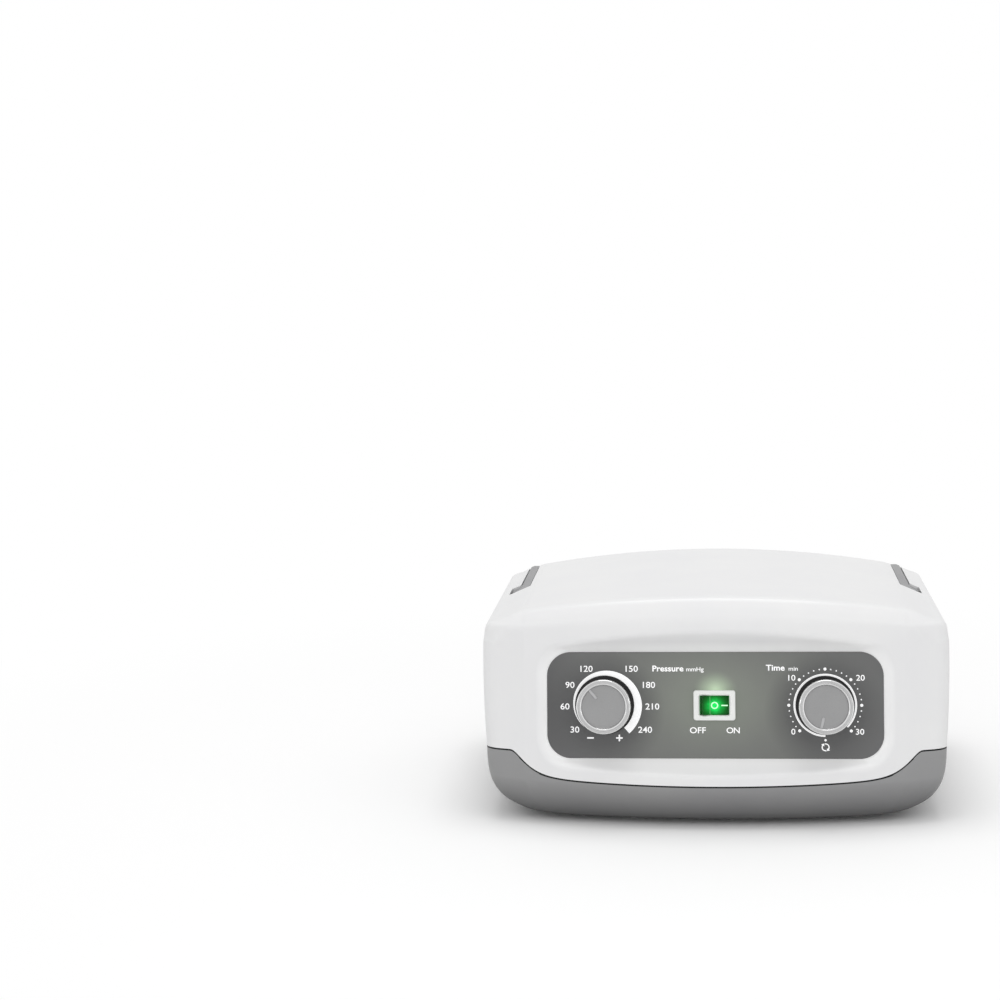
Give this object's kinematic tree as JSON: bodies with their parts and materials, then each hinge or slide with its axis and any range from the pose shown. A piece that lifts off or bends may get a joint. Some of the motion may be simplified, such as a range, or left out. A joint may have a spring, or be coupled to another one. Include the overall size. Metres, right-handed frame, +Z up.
{
  "type": "compression therapy pump",
  "caption": "Pump unit with a two-part moulded housing, recessed panel with pressure and timer knobs, lit rocker switch, rear air sockets and a fold-down carry handle.",
  "frame": {"origin": "on the table, under the middle of the housing", "axes": "+Z up, the panel faces -Y, +X to the right as seen from the front"},
  "size_m": [0.238, 0.204, 0.1155],
  "materials": {
    "cover": "glossy white moulding",
    "tub": "satin mid grey moulding",
    "panel": "printed dark grey panel",
    "black_trim": "black moulding",
    "knob": "satin silver lacquer",
    "bezel": "white moulding",
    "rocker": "clear green moulding, lit from behind",
    "lamp": "small lamp",
    "handle": "fine-grained grey moulding",
    "grey_moulding": "plain moulding",
    "cast_case": "die-cast case",
    "steel": "plated steel",
    "brass": "plated brass",
    "rubber": "soft rubber",
    "hose": "silicone",
    "lead": "insulated lead"
  },
  "bodies": {
    "case": {"upper_housing": "cover", "lower_housing": "tub", "fascia_panel": "panel", "knob_rings": "black_trim", "pressure_regulator": "grey_moulding", "timer_movement": "grey_moulding", "spindle_nuts": "steel", "switch_body": "bezel", "switch_lamp": "lamp", "switch_terminals": "brass", "handle_pins": "steel", "rubber_feet": "rubber", "housing_screws": "steel", "compressor_case": "cast_case", "compressor_heads": "grey_moulding", "compressor_mounts": "rubber", "air_filter": "bezel", "distributor_motor": "steel", "distributor_body": "bezel", "tee_piece": "bezel", "supply_hoses": "hose", "outlet_hoses": "hose", "outlet_manifold": "bezel", "air_socket_left": "black_trim", "air_socket_right": "black_trim", "socket_screws": "steel", "mains_inlet": "black_trim", "inlet_pins": "brass", "terminal_block": "bezel", "wiring": "lead"},
    "pressure_dial": {"pressure_knob": "knob", "pressure_spindle": "steel"},
    "timer_dial": {"timer_knob": "knob", "timer_spindle": "steel"},
    "rocker": {"switch_rocker": "rocker"},
    "handle": {"carry_handle": "handle"},
    "distributor_disc": {"distributor_rotor": "grey_moulding"},
    "armature": {"compressor_armature": "steel"}
  },
  "joints": [
    {"name": "pressure_turn", "type": "hinge", "parent": "case", "child": "pressure_dial", "pos_m": [-0.0557, -0.0856, 0.0604], "axis": [0, -0.9903, 0.1392], "range_deg": [-175, 95]},
    {"name": "timer_turn", "type": "hinge", "parent": "case", "child": "timer_dial", "pos_m": [0.0557, -0.0856, 0.0604], "axis": [0, -0.9903, 0.1392], "range_deg": [-301, 14]},
    {"name": "switch_rock", "type": "hinge", "parent": "case", "child": "rocker", "pos_m": [0, -0.08461, 0.06026], "axis": [0, 0.1392, 0.9903], "range_deg": [-20, 0]},
    {"name": "handle_fold", "type": "hinge", "parent": "case", "child": "handle", "pos_m": [0, 0.021, 0.0992], "axis": [1, 0, 0], "range_deg": [0, 92]},
    {"name": "distributor_spin", "type": "hinge", "parent": "case", "child": "distributor_disc", "pos_m": [0.037, 0.01, 0.05], "axis": [0, 0, 1], "continuous": true},
    {"name": "armature_shuttle", "type": "slide", "parent": "case", "child": "armature", "axis": [0, 1, 0], "range_m": [-0.0025, 0.0025], "stiffness_N_per_m": 400}
  ]
}
